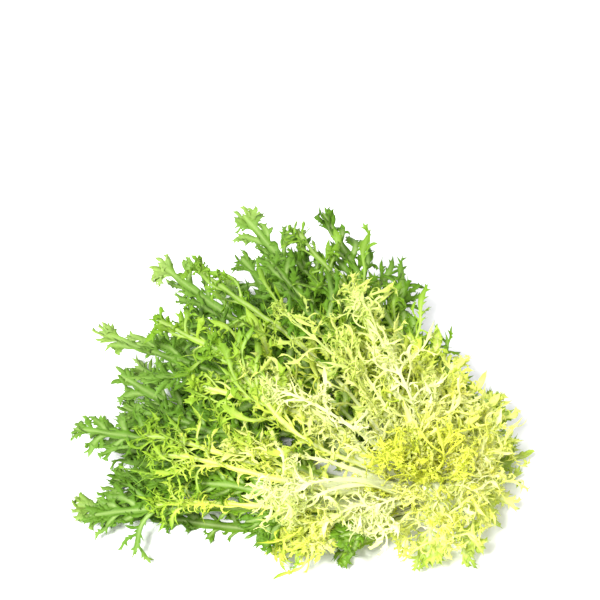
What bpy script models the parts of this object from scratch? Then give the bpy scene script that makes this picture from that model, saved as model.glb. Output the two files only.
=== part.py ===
"""A head of frisee lying on a flat surface: a short cut stem, long toothed leaves swept to one
side in a fan, short leaves curling over the near side, and a curly heart.

Metres, +Z up. Azimuths run anticlockwise seen from above, 0 along +X and 90 along +Y.
The origin is at the bottom centre of the whole head's box."""

import math
import random
from collections import namedtuple

import bpy
from mathutils import Quaternion, Vector
from mathutils.bvhtree import BVHTree

MM = 0.001
SEED = 7

STEM_CUT_RADIUS = 13 * MM
STEM_LENGTH = 32 * MM
# The stem's radius at each level up from its cut.
STEM_PROFILE = (
    (0, STEM_CUT_RADIUS), (3 * MM, 16 * MM), (10 * MM, 17 * MM), (19 * MM, 14 * MM),
    (27 * MM, 9 * MM), (STEM_LENGTH, 5 * MM),
)
STEM_LEAN = 25
STEM_LEANS_TOWARDS = 130
STEM_SIDES = 20

# How far the leaves reach from the stem in each direction, as azimuth and distance.
REACH = (
    (-110, 46 * MM), (-60, 44 * MM), (-10, 38 * MM), (30, 54 * MM), (50, 80 * MM), (62, 95 * MM),
    (78, 96 * MM), (86, 118 * MM), (98, 120 * MM), (104, 136 * MM), (109, 190 * MM), (114, 255 * MM),
    (136, 276 * MM), (150, 280 * MM), (165, 268 * MM), (182, 258 * MM), (186, 190 * MM), (196, 146 * MM),
    (208, 132 * MM), (216, 96 * MM), (230, 56 * MM), (250, 46 * MM),
)
# How much higher than the rest of its whorl a leaf of the fan points at its tip, in degrees.
TIP_LIFT = ((60, 0), (90, 8), (104, 4), (112, 12), (130, 12), (152, 9), (165, -8), (178, -24), (190, -30))
# Where round the stem a leaf grows that points in each direction: the fan's leaves are gathered
# from nearly the whole way round.
BASES = ((-110, -110), (-50, -60), (0, -20), (58, 8), (100, 50), (190, 218), (215, 236), (250, 250))
ROOT_GAP = 2.2 * MM
SWERVE = 6  # how soon a leaf turns from where it grows to where it points
SHINGLE = 3 * MM  # every second leaf of a whorl grows this much higher up the stem

# How a leaf is cut: half widths of the rib and its blade along the leaf, how many lobes, the
# longest lobe and the others as shares of it from the first to the last, a lobe's half width, a
# tooth's length, and the most a lobe curls, twists and leaves the leaf's plane.
Cut = namedtuple("Cut", "widths lobes longest sizes lobe_width tooth curl twist ruffle")
CUTS = {
    "green": Cut(
        (
            (0, 4.2 * MM), (0.12, 3.0 * MM), (0.35, 2.2 * MM), (0.62, 4.6 * MM), (0.88, 4.8 * MM),
            (1, 2.4 * MM),
        ),
        10, 36 * MM, ((0, 0.35), (0.25, 0.75), (0.5, 1), (0.7, 0.8), (0.85, 0.55), (1, 0.38)),
        3.0 * MM, 4.5 * MM, 22, 15, 12,
    ),
    "lime": Cut(
        (
            (0, 4.0 * MM), (0.12, 2.8 * MM), (0.35, 1.8 * MM), (0.65, 3.0 * MM), (0.88, 3.0 * MM),
            (1, 1.6 * MM),
        ),
        10, 32 * MM, ((0, 0.40), (0.3, 0.85), (0.6, 1), (0.8, 0.7), (1, 0.35)),
        2.2 * MM, 4.0 * MM, 40, 30, 30,
    ),
    "yellow": Cut(
        ((0, 3.8 * MM), (0.15, 2.2 * MM), (0.4, 1.5 * MM), (0.7, 1.7 * MM), (1, 1.1 * MM)),
        9, 26 * MM, ((0, 0.45), (0.3, 0.85), (0.6, 1), (0.85, 0.8), (1, 0.5)),
        1.5 * MM, 3.5 * MM, 65, 50, 50,
    ),
}
RIB_THICKNESS = ((0, 2.4 * MM), (0.3, 1.6 * MM), (0.6, 0.9 * MM), (1, 0.8 * MM))
LOBE_THICKNESS = 0.8 * MM
BARE = (0.22, 0.38)  # share of a leaf without lobes, at its slimmest and broadest rib
# How much broader the ribs are on the side where the leaves lie open, along the leaf.
BROAD_RIBS = ((0, 1), (0.08, 1.7), (0.3, 2.1), (0.5, 1.4), (0.65, 1))
BROAD_SIDE = ((145, 0), (172, 1), (242, 1), (250, 0))  # by azimuth, 1 where the ribs are broad
# How much of a lobe's length is left there, by azimuth, up to a share of the leaf.
OPEN_SIDE = ((145, 1), (165, 0.6), (180, 0.3), (242, 0.25), (250, 1))
OPEN_TO = 0.75
LOBED_TO = 0.94
LONG_LOBE = 14 * MM  # length from which a lobe has two joints and not one
LOBE_ANGLES = (62, 36)  # between the rib and a lobe, at the first lobe and the last
LOBE_POINT = 0.56  # length of a lobe's pointed tip, as a share of one of its joints
FORK_SHARE = 0.36  # length of a fork, as a share of its leaf
FORK_ANGLE = 28
FORKED_FROM = 120 * MM  # length of the shortest leaf that has a fork
BARE_JOINTS = 3
CLEARANCE = 0.5 * MM
FLOOR_SNAP = 0.1 * MM  # what comes this near the floor is laid on it

# Whorls from the outermost to the innermost: name, cut, level on the stem, azimuths, share of
# the reach on the short side and in the fan, and pitches at the base, middle and tip.
Whorl = namedtuple("Whorl", "name cut level azimuths shares pitches")
WHORLS = (
    Whorl("outer_leaf", "green", 4 * MM, (58, 82, 104, 117, 128, 139, 150, 161, 171), (1, 1), (-7, -5, -2)),
    Whorl("under_leaf", "green", 5 * MM, (203, -95, -50, -8, 27), (1, 0), (22, 12, -50)),
    Whorl("back_leaf", "green", 10.5 * MM, (70, 95, 114, 127, 141, 154, 168, 181), (1, 1), (16, 14, 6)),
    Whorl("side_leaf", "lime", 13 * MM, (240, -72, -30, 8, 42), (0.95, 0.95), (42, 30, -45)),
    Whorl(
        "middle_leaf", "lime", 16 * MM, (62, 88, 107, 122, 140, 154, 169, 184, 200), (0.92, 0.86),
        (22, 20, 6),
    ),
    Whorl(
        "upper_leaf", "yellow", 21 * MM, (75, 100, 118, 136, 154, 172, 190, 209), (0.78, 0.60),
        (32, 30, 4),
    ),
    Whorl("near_leaf", "yellow", 20 * MM, (238, -78, -34, 10, 46), (0.85, 0.85), (58, 45, -30)),
    Whorl("inner_leaf", "yellow", 25 * MM, (-85, -30, 20, 75, 115, 158, 212), (0.8, 0.5), (55, 42, -12)),
)
JITTER = 2  # degrees that a leaf's direction may differ from the list

MOST_ROLL = 20  # degrees that a leaf may turn over about its own rib
MOST_SWAY = 13  # degrees that a rib may swing to each side on its way, in one wave
STEPS = 60  # straight pieces in a rib's curve

# What a leaf that finds its place taken may try: degrees steeper, degrees round, and how much
# higher or lower on the stem.
LIFTS = range(-6, 15, 2)
SWINGS = range(-12, 13, 2)
RISES = (0, 1.5 * MM, -1.5 * MM, 3 * MM, -3 * MM)

# What a lobe that finds its place taken may try: shares of its length, and degrees of curl.
LOBE_SHORTER = (1, 0.7, 0.45)
LOBE_BENDS = (0, 20, -20, 40, -40, 65, -65, 90, -90)

HEART_GAP = 1.0 * MM
HEART_SIDES = 10
HEART_PROFILE = ((0, 7 * MM), (4 * MM, 10 * MM), (8.5 * MM, 9.5 * MM), (12 * MM, 7 * MM))
HEART_ROWS = len(HEART_PROFILE) - 1
HEART_PITCHES = (2, 32, 62)  # of the straps out of each row of the core
HEART_REACH = 42 * MM
HEART_JOINTS = 4

COLOURS = {
    "stem": (0.85, 0.88, 0.70), "green": (0.22, 0.45, 0.05), "lime": (0.45, 0.65, 0.08),
    "yellow": (0.80, 0.85, 0.20),
}
ROUGHNESS = 0.45


def arc(azimuth, pitch):
    """The unit vector that points along an azimuth, pitch degrees above the horizon."""
    a, p = math.radians(azimuth), math.radians(pitch)
    return Vector((math.cos(a) * math.cos(p), math.sin(a) * math.cos(p), math.sin(p)))


def mix(a, b, t):
    return a + (b - a) * t


def along(table, x):
    """The value at x of a table of (x, value) rows, in straight runs."""
    for (x0, v0), (x1, v1) in zip(table, table[1:]):
        if x <= x1:
            return mix(v0, v1, max(0, (x - x0) / (x1 - x0)))
    return table[-1][1]


def turned(v, axis, degrees):
    return Quaternion(axis, math.radians(degrees)) @ v


STEM_AXIS = arc(STEM_LEANS_TOWARDS, 90 - STEM_LEAN)
STEM_FOOT = Vector((0, 0, STEM_CUT_RADIUS * math.sin(math.radians(STEM_LEAN))))


class Blade:
    """One closed thin solid, grown strap by strap out of the quads of its own sides.

    A ring is four point numbers: left top, right top, right bottom, left bottom."""

    def __init__(self):
        self.points = []
        self.faces = []
        self.open_sides = []  # faces of the sides where nothing has grown yet

    def ring(self, centre, left, up):
        gap = centre.z - abs(left.z) - abs(up.z)
        if gap < FLOOR_SNAP:
            centre = centre - Vector((0, 0, gap))
        first = len(self.points)
        self.points += [centre + left + up, centre - left + up, centre - left - up, centre + left - up]
        return [first, first + 1, first + 2, first + 3]

    def skin(self, a, b):
        """Top and bottom between two rings, cut into triangles alike on both faces."""
        self.faces += [(a[0], a[1], b[0]), (a[1], b[1], b[0]), (a[3], b[3], a[2]), (a[2], b[3], b[2])]

    def shut(self, quad):
        """Close a quad of a side or of the base."""
        self.faces += halves(quad)

    def spike(self, quad, tip):
        """A quad drawn out to a point."""
        self.points.append(Vector((tip.x, tip.y, max(tip.z, LOBE_THICKNESS / 2))))
        last = len(self.points) - 1
        self.faces += [(quad[i], quad[(i + 1) % 4], last) for i in range(4)]

    def middle(self, quad):
        return sum((self.points[i] for i in quad), Vector()) / 4

    def crosses_itself(self, since):
        """Whether the faces made since a count of faces cut through each other or older ones."""
        new, old = self.faces[since:], self.faces[:since] + self.open_sides
        new_tree = BVHTree.FromPolygons(self.points, new, all_triangles=True)
        old_tree = BVHTree.FromPolygons(self.points, old, all_triangles=True)
        met = [(new[a], old[b]) for a, b in new_tree.overlap(old_tree)]
        met += [(new[a], new[b]) for a, b in new_tree.overlap(new_tree)]
        return any(not set(a) & set(b) for a, b in met)


def halves(quad):
    a, b, c, d = quad
    return [(a, b, d), (b, c, d)]


def fan(corners):
    """A flat face cut into triangles from its first corner."""
    return [(corners[0], corners[i], corners[i + 1]) for i in range(1, len(corners) - 1)]


def left_side(a, b):
    """The quad on the left between two rings, as a ring for what grows out of it."""
    return [a[0], b[0], b[3], a[3]]


def right_side(a, b):
    return [b[1], a[1], a[2], b[2]]


class Spine:
    """A leaf's rib: a curve whose azimuth and pitch change smoothly from base to tip."""

    def __init__(self, root, base, aim, pitches, length, roll, sway):
        self.points, self.angles, self.roll = [root], [], roll
        for i in range(STEPS):
            t = (i + 0.5) / STEPS
            azimuth = aim + (base - aim) * ((1 - t) ** SWERVE - 1 / (SWERVE + 1))
            azimuth += sway * math.sin(2 * math.pi * t)
            pitch = (1 - t) ** 2 * pitches[0] + 2 * t * (1 - t) * pitches[1] + t * t * pitches[2]
            point = self.points[-1] + arc(azimuth, pitch) * (length / STEPS)
            floor = along(RIB_THICKNESS, t) / 2
            if point.z < floor:
                point.z = floor
                pitch = 0
            self.points.append(point)
            self.angles.append((azimuth, pitch))
        self.angles.append(self.angles[-1])

    def at(self, t):
        """(point, direction, up) at share t of the length."""
        x = min(t * STEPS, STEPS - 1e-6)
        i = int(x)
        azimuth, pitch = (mix(a, b, x - i) for a, b in zip(self.angles[i], self.angles[i + 1]))
        direction = arc(azimuth, pitch)
        up = turned(arc(azimuth, pitch + 90), direction, self.roll * t)
        return self.points[i].lerp(self.points[i + 1], x - i), direction, up


Lobe = namedtuple("Lobe", "direction up length width tooth curl twist joints")


def grow_lobe(blade, root, lobe, fat=0):
    """A strap with teeth on its free sides and a pointed tip, grown out of the quad root."""
    direction, up = lobe.direction.copy(), lobe.up.copy()
    centre = blade.middle(root)
    before = root
    share = 1 / (lobe.joints + LOBE_POINT)
    for joint in range(lobe.joints):
        across = up.cross(direction).normalized()
        direction = turned(direction, across, -lobe.curl * share)
        up = turned(up, across, -lobe.curl * share)
        up = turned(up, direction, lobe.twist * share)
        across = up.cross(direction).normalized()
        centre = centre + direction * (lobe.length * share)
        half = lobe.width * mix(1, 0.7, joint / lobe.joints)
        ring = blade.ring(centre, across * (half + fat), up * (LOBE_THICKNESS / 2 + fat))
        blade.skin(before, ring)
        for way, quad in ((1, left_side(before, ring)), (-1, right_side(before, ring))):
            if joint == 0 and way > 0:
                blade.shut(quad)
            else:
                tooth = lobe.tooth * (1.5 if joint % 2 else 1)
                tip = across * (way * tooth) + direction * (1.3 * tooth)
                blade.spike(quad, blade.middle(quad) + tip + tip.normalized() * fat)
        before = ring
    blade.spike(ring, centre + direction * (lobe.length * share * LOBE_POINT + fat))


def lone_lobe(blade, quad, lobe, fat):
    """A lobe by itself, with fat added all round, to try it against what is already there."""
    lone = Blade()
    lone.points = [blade.points[i] + lobe.direction * fat for i in quad]
    grow_lobe(lone, [0, 1, 2, 3], lobe, fat)
    return lone


class Placed:
    """What is already there: search trees and boxes, each with the leaf that it belongs to."""

    def __init__(self):
        self.rows = []

    def row(self, owner, blade):
        tree = BVHTree.FromPolygons(blade.points, blade.faces, all_triangles=True)
        low = [min(point[i] for point in blade.points) for i in range(3)]
        high = [max(point[i] for point in blade.points) for i in range(3)]
        return owner, tree, low, high

    def add(self, owner, blade):
        self.rows.append(self.row(owner, blade))

    def met_by(self, owner, blade):
        """Whether a blade cuts through anything that belongs to another leaf."""
        _, tree, low, high = self.row(owner, blade)
        for other, other_tree, other_low, other_high in self.rows:
            apart = any(low[i] > other_high[i] or high[i] < other_low[i] for i in range(3))
            if other != owner and not apart and tree.overlap(other_tree):
                return True
        return False


def grow_where_clear(owner, blade, quad, lobe, placed):
    """Grow a lobe out of a quad as planned, or else bent, or else bent and shorter."""
    for size in LOBE_SHORTER:
        for bend in LOBE_BENDS:
            tried = lobe._replace(length=lobe.length * size, curl=lobe.curl + bend)
            thin, fat = (lone_lobe(blade, quad, tried, extra) for extra in (0, CLEARANCE))
            if placed.met_by(owner, thin) or placed.met_by(owner, fat):
                continue
            points, faces = len(blade.points), len(blade.faces)
            grow_lobe(blade, quad, tried)
            if not blade.crosses_itself(faces):
                placed.add(owner, thin)
                return
            del blade.points[points:], blade.faces[faces:]
    blade.shut(quad)


def off_stem(level, azimuth, gap):
    """The point a gap off the stem's side, level up from its cut, that faces an azimuth."""
    radial = arc(azimuth, 0)
    radial = (radial - STEM_AXIS * radial.dot(STEM_AXIS)).normalized()
    return STEM_FOOT + STEM_AXIS * level + radial * (along(STEM_PROFILE, level) + gap)


def in_fan(azimuth):
    return 55 < azimuth < 202


class Leaf:
    def __init__(self, name, whorl, azimuth, level, rng):
        self.name, self.whorl, self.level, self.rng = name, whorl, level, rng
        self.cut = CUTS[whorl.cut]
        self.aim = azimuth + rng.uniform(-JITTER, JITTER)
        self.broad = along(BROAD_SIDE, self.aim)
        self.roll = rng.uniform(-MOST_ROLL, MOST_ROLL) if whorl.name != "outer_leaf" else 0
        self.sway = rng.uniform(-MOST_SWAY, MOST_SWAY)
        self.share = mix(*whorl.shares, self.fan_share()) * rng.uniform(0.95, 1.03)
        self.stand(0, 0, 0)
        self.lobes = max(4, round(self.cut.lobes * min(1, self.length / (150 * MM)) ** 0.7))

    def fan_share(self):
        """0 for the shortest leaves of the near side, 1 for the longest of the fan."""
        return min(1, max(0, (along(REACH, self.aim) - 60 * MM) / (200 * MM)))

    def stand(self, lift, swing, rise):
        """Lay the rib: lift degrees steeper, swing degrees further round, rooted rise higher."""
        aim = self.aim + swing
        base = along(BASES, aim)
        tip = along(TIP_LIFT, self.aim) if in_fan(self.aim) else 0
        low, middle, high = self.whorl.pitches
        pitches = low + lift, middle + lift + tip / 2, high + lift + tip
        gap = ROOT_GAP * (1 + math.sin(math.radians(low)))
        root = off_stem(self.level + rise, base, gap)
        trial = Spine(root, base, aim, pitches, 100 * MM, 0, self.sway)
        flat = (trial.points[-1] - root).to_2d().length / (100 * MM)
        self.length = (along(REACH, aim) * self.share - root.dot(arc(aim, 0))) / flat
        self.spine = Spine(root, base, aim, pitches, self.length, self.roll, self.sway)

    def stand_clear(self, placed):
        """Stand as near to the plan as the ribs that are already there allow."""
        ways = [(lift, swing, rise) for lift in LIFTS for swing in SWINGS for rise in RISES]
        for way in sorted(ways, key=lambda way: abs(way[0]) + abs(way[1]) + abs(way[2]) / MM):
            self.stand(*way)
            if not placed.met_by(self.name, self.bare_rib(CLEARANCE)):
                return
        raise ValueError(self.name + " finds no place")

    def bare(self):
        """Share of the leaf that is bare rib: more on the side where the ribs are broad."""
        return mix(*BARE, self.broad)

    def stations(self):
        bare = self.bare()
        lobed = [mix(bare, LOBED_TO, i / self.lobes) for i in range(self.lobes + 1)]
        return [bare * share for share in (0, 0.3, 0.65)] + lobed + [LOBED_TO + 0.035]

    def bare_rib(self, fat=0):
        """The rib without lobes, with fat added all round."""
        blade = Blade()
        rings = self.rib(blade, fat)
        for a, b in zip(rings, rings[1:]):
            blade.shut(left_side(a, b))
            blade.shut(right_side(a, b))
        return blade

    def rib(self, blade, fat=0):
        """The rings of the rib and its narrow blade, with both long sides left open."""
        rings = []
        for t in self.stations():
            point, direction, up = self.spine.at(t)
            left = up.cross(direction).normalized()
            half = along(self.cut.widths, t) * min(1, 0.55 + 0.45 * self.length / (200 * MM))
            half *= mix(1, along(BROAD_RIBS, t), self.broad)
            rings.append(blade.ring(point, left * (half + fat), up * (along(RIB_THICKNESS, t) / 2 + fat)))
        blade.shut([rings[0][0], rings[0][3], rings[0][2], rings[0][1]])
        for a, b in zip(rings, rings[1:]):
            blade.skin(a, b)
        blade.spike(rings[-1], self.spine.at(1)[0])
        return rings

    def lobe(self, t, way):
        """The lobe that grows at t on the left, way 1, or the right, way -1."""
        u = (t - self.bare()) / (LOBED_TO - self.bare())
        _, direction, up = self.spine.at(t)
        left = up.cross(direction).normalized()
        angle = math.radians(mix(*LOBE_ANGLES, u) + self.rng.uniform(-6, 6))
        outward = turned(left * way, direction, self.cut.ruffle * self.rng.uniform(-1, 1))
        size = along(self.cut.sizes, u) * self.rng.uniform(0.85, 1.1)
        length = self.cut.longest * size * min(1, 0.4 + 0.6 * self.length / (200 * MM))
        if t < OPEN_TO:
            length *= along(OPEN_SIDE, self.aim)
        return Lobe(
            direction * math.cos(angle) + outward * math.sin(angle),
            direction.cross(outward).normalized() * way,
            length,
            self.cut.lobe_width,
            min(self.cut.tooth, 0.4 * length),
            self.cut.curl * self.rng.uniform(-0.8, 1.0),
            self.cut.twist * self.rng.uniform(-1, 1),
            2 if length > LONG_LOBE else 1,
        )

    def fork(self, t, way):
        """A lobe grown as long as a second tip of the leaf."""
        _, direction, up = self.spine.at(t)
        left = up.cross(direction).normalized()
        angle = math.radians(FORK_ANGLE)
        return self.lobe(t, way)._replace(
            direction=direction * math.cos(angle) + left * (way * math.sin(angle)), up=up,
            length=self.length * FORK_SHARE, curl=self.rng.uniform(-10, 15), joints=5,
        )

    def grow(self, placed):
        """The whole leaf as one blade, its lobes and teeth kept clear of the rest."""
        blade = Blade()
        rings = self.rib(blade)
        ts = self.stations()
        sides = []
        for i, (a, b) in enumerate(zip(rings, rings[1:])):
            sides += [(i, 1, left_side(a, b)), (i, -1, right_side(a, b))]
        blade.open_sides = [face for _, _, quad in sides for face in halves(quad)]
        fork_at = self.lobes // 2 - self.rng.choice((0, 1)) if self.length > FORKED_FROM else None
        for i, way, quad in sides:
            number = i - BARE_JOINTS
            t = (ts[i] + ts[i + 1]) / 2
            on_this_side = way == (1 if number % 2 else -1)
            if number < 0:
                blade.shut(quad)
            elif number < self.lobes and on_this_side:
                lobe = self.fork(t, way) if number == fork_at else self.lobe(t, way)
                grow_where_clear(self.name, blade, quad, lobe, placed)
            else:
                self.grow_tooth(blade, quad, t, way, placed)
        return blade

    def grow_tooth(self, blade, quad, t, way, placed):
        """A tooth on the rib's own edge, full, half or none."""
        _, direction, up = self.spine.at(t)
        outward = up.cross(direction).normalized() * way + direction
        tooth = self.cut.tooth * self.rng.uniform(0.6, 1.1)
        middle = blade.middle(quad)
        for size in (1, 0.5):
            tip = middle + outward * (tooth * size)
            lone = Blade()
            for corner in (blade.points[i] for i in quad):
                sideways = up * math.copysign(CLEARANCE, (corner - middle).dot(up))
                lone.points.append(corner + outward * CLEARANCE + sideways)
            lone.spike([0, 1, 2, 3], tip + outward * CLEARANCE)
            if not placed.met_by(self.name, lone):
                faces = len(blade.faces)
                blade.spike(quad, tip)
                if not blade.crosses_itself(faces):
                    placed.add(self.name, lone)
                    return
                del blade.points[-1:], blade.faces[faces:]
        blade.shut(quad)


def stem_sides():
    """Two directions square to the stem's axis and to each other."""
    side = STEM_AXIS.orthogonal().normalized()
    return side, STEM_AXIS.cross(side)


def barrel(profile, foot, count):
    """Rings of points round the stem's axis, one for each (level, radius), and the end caps."""
    side, across = stem_sides()
    blade = Blade()
    for level, radius in profile:
        for i in range(count):
            a = 2 * math.pi * i / count
            out = side * math.cos(a) + across * math.sin(a)
            blade.points.append(foot + STEM_AXIS * level + out * radius)
    last = count * (len(profile) - 1)
    blade.faces += fan(list(reversed(range(count)))) + fan(list(range(last, last + count)))
    return blade


def barrel_quads(rows, count):
    """The quads between the rings of a barrel, each as the root of something that grows out."""
    quads = []
    for row in range(rows):
        for i in range(count):
            j = (i + 1) % count
            quads.append([(row + 1) * count + j, (row + 1) * count + i, row * count + i, row * count + j])
    return quads


def stem_blade():
    """The crown that the leaves grow from: a short barrel with a flat cut foot."""
    blade = barrel(STEM_PROFILE, STEM_FOOT, STEM_SIDES)
    for quad in barrel_quads(len(STEM_PROFILE) - 1, STEM_SIDES):
        blade.shut(quad)
    return blade


def heart_core():
    blade = barrel(HEART_PROFILE, STEM_FOOT + STEM_AXIS * (STEM_LENGTH + HEART_GAP), HEART_SIDES)
    blade.open_sides = [face for quad in barrel_quads(HEART_ROWS, HEART_SIDES) for face in halves(quad)]
    return blade


def grow_heart(core, placed):
    """The curly middle: short toothed straps out of the sides of the core."""
    rng = random.Random(SEED)
    side, across = stem_sides()
    cut = CUTS["yellow"]
    for number, quad in enumerate(barrel_quads(HEART_ROWS, HEART_SIDES)):
        row, i = divmod(number, HEART_SIDES)
        if row and (row + i) % 2:
            core.shut(quad)
            continue
        a = 2 * math.pi * (i + 0.5) / HEART_SIDES + rng.uniform(-0.15, 0.15)
        out = side * math.cos(a) + across * math.sin(a)
        pitch = math.radians(HEART_PITCHES[row] + rng.uniform(-8, 8))
        direction = out * math.cos(pitch) + STEM_AXIS * math.sin(pitch)
        up = STEM_AXIS * math.cos(pitch) - out * math.sin(pitch)
        length = HEART_REACH * rng.uniform(0.8, 1.15)
        curl, twist = rng.uniform(40, 90), rng.uniform(-60, 60)
        lobe = Lobe(direction, up, length, cut.lobe_width, cut.tooth, curl, twist, HEART_JOINTS)
        grow_where_clear("heart", core, quad, lobe, placed)


def plan_leaves():
    leaves = []
    for w, whorl in enumerate(WHORLS):
        for i, azimuth in enumerate(whorl.azimuths):
            rng = random.Random(SEED * 1000 + w * 100 + i)
            level = whorl.level + SHINGLE * (i % 2)
            leaves.append(Leaf(f"{whorl.name}_{i + 1}", whorl, azimuth, level, rng))
    return leaves


def grow_head():
    """Every piece of the head as (name, colour, blade), each clear of the others."""
    placed = Placed()
    stem, heart = stem_blade(), heart_core()
    placed.add("stem", stem)
    whole_core = heart_core()
    whole_core.faces += whole_core.open_sides
    placed.add("heart", whole_core)
    leaves = plan_leaves()
    for leaf in leaves:
        leaf.stand_clear(placed)
        placed.add(leaf.name, leaf.bare_rib())
    grow_heart(heart, placed)
    head = [("stem", "stem", stem), ("heart", "yellow", heart)]
    return head + [(leaf.name, leaf.whorl.cut, leaf.grow(placed)) for leaf in leaves]


def make_material(name, colour):
    material = bpy.data.materials.new(name)
    material.use_nodes = True
    shader = material.node_tree.nodes["Principled BSDF"]
    shader.inputs["Base Color"].default_value = (*colour, 1)
    shader.inputs["Roughness"].default_value = ROUGHNESS
    return material


def make_object(name, blade, origin, material):
    mesh = bpy.data.meshes.new(name)
    mesh.from_pydata([point - origin for point in blade.points], [], blade.faces)
    mesh.materials.append(material)
    bpy.context.scene.collection.objects.link(bpy.data.objects.new(name, mesh))


def main():
    for old in list(bpy.data.objects):
        bpy.data.objects.remove(old)
    head = grow_head()
    points = [point for _, _, blade in head for point in blade.points]
    low = Vector([min(point[i] for point in points) for i in range(3)])
    high = Vector([max(point[i] for point in points) for i in range(3)])
    origin = Vector(((low.x + high.x) / 2, (low.y + high.y) / 2, low.z))
    materials = {name: make_material(name, colour) for name, colour in COLOURS.items()}
    for name, colour, blade in head:
        make_object(name, blade, origin, materials[colour])


main()
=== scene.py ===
"""The looks of a head of frisee: every leaf grown again along its own rib with fine lobes, teeth
and curls, the curly heart, the cut stem, and a pale studio.

Metres, +Z up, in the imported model's frame. Azimuths run anticlockwise seen from above, 0 along +X."""

import itertools
import random
from collections import namedtuple
from math import cos, pi, radians, sin

import bpy
import numpy as np
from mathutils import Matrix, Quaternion, Vector
from mathutils.bvhtree import BVHTree


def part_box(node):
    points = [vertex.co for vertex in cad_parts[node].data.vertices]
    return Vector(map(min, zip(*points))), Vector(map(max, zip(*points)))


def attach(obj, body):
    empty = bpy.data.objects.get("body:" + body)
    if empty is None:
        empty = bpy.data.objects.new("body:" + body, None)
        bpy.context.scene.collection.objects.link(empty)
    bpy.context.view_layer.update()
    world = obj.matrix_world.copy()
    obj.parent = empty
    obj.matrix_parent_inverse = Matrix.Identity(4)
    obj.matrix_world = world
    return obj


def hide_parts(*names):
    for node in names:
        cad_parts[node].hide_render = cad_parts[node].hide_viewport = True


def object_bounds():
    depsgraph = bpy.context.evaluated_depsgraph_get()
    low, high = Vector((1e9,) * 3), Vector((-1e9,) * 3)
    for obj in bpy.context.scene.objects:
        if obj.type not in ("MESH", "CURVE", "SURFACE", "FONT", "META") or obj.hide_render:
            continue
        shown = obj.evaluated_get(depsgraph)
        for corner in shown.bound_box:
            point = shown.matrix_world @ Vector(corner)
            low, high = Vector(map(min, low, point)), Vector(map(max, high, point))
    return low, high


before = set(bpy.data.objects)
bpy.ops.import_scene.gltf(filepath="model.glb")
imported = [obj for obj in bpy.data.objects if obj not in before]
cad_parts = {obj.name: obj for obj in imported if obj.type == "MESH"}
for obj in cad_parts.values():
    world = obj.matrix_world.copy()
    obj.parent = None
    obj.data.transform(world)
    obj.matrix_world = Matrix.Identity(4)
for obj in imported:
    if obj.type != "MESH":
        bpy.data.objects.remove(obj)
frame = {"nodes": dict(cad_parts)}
cad_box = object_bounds()

MM = 0.001


def in_mm(*rows):
    """(x, value) rows with their values in millimetres."""
    return tuple((x, value * MM) for x, value in rows)


def profile_in_mm(*rows):
    """(level, radius) rows of a profile round the stem's axis."""
    return tuple((level * MM, radius * MM) for level, radius in rows)


# The rule that the source lays the leaves by, repeated here. The source says what each value is.
SEED = 7
STEM_LENGTH = 32 * MM
STEM_PROFILE = profile_in_mm((0, 13), (3, 16), (10, 17), (19, 14), (27, 9), (32, 5))
STEM_LEAN = 25
STEM_LEANS_TOWARDS = 130
STEM_SIDES = 20
REACH = in_mm(
    (-110, 46), (-60, 44), (-10, 38), (30, 54), (50, 80), (62, 95), (78, 96), (86, 118), (98, 120),
    (104, 136), (109, 190), (114, 255), (136, 276), (150, 280), (165, 268), (182, 258), (186, 190),
    (196, 146), (208, 132), (216, 96), (230, 56), (250, 46),
)
TIP_LIFT = (
    (60, 0), (90, 8), (104, 4), (112, 12), (130, 12), (152, 9), (165, -8), (178, -24), (190, -30),
)
FAN = (55, 202)  # its azimuths
BASES = ((-110, -110), (-50, -60), (0, -20), (58, 8), (100, 50), (190, 218), (215, 236), (250, 250))
ROOT_GAP = 2.2 * MM
SWERVE = 6
SHINGLE = 3 * MM
Cut = namedtuple("Cut", "widths lobes longest sizes curl twist ruffle")
CUTS = {
    "green": Cut(
        in_mm((0, 4.2), (0.12, 3.0), (0.35, 2.2), (0.62, 4.6), (0.88, 4.8), (1, 2.4)),
        10, 36 * MM, ((0, 0.35), (0.25, 0.75), (0.5, 1), (0.7, 0.8), (0.85, 0.55), (1, 0.38)),
        22, 15, 12,
    ),
    "lime": Cut(
        in_mm((0, 4.0), (0.12, 2.8), (0.35, 1.8), (0.65, 3.0), (0.88, 3.0), (1, 1.6)),
        10, 32 * MM, ((0, 0.40), (0.3, 0.85), (0.6, 1), (0.8, 0.7), (1, 0.35)),
        40, 30, 30,
    ),
    "yellow": Cut(
        in_mm((0, 3.8), (0.15, 2.2), (0.4, 1.5), (0.7, 1.7), (1, 1.1)),
        9, 26 * MM, ((0, 0.45), (0.3, 0.85), (0.6, 1), (0.85, 0.8), (1, 0.5)),
        65, 50, 50,
    ),
}
RIB_THICKNESS = in_mm((0, 2.4), (0.3, 1.6), (0.6, 0.9), (1, 0.8))
BARE = (0.22, 0.38)
BROAD_RIBS = ((0, 1), (0.08, 1.7), (0.3, 2.1), (0.5, 1.4), (0.65, 1))
BROAD_SIDE = ((145, 0), (172, 1), (242, 1), (250, 0))
OPEN_SIDE = ((145, 1), (165, 0.6), (180, 0.3), (242, 0.25), (250, 1))
OPEN_TO = 0.75
LOBED_TO = 0.94
LOBE_ANGLES = (62, 36)
FORK_SHARE = 0.36
FORK_ANGLE = 28
FORKED_FROM = 120 * MM
Whorl = namedtuple("Whorl", "name cut level azimuths shares pitches")
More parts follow.
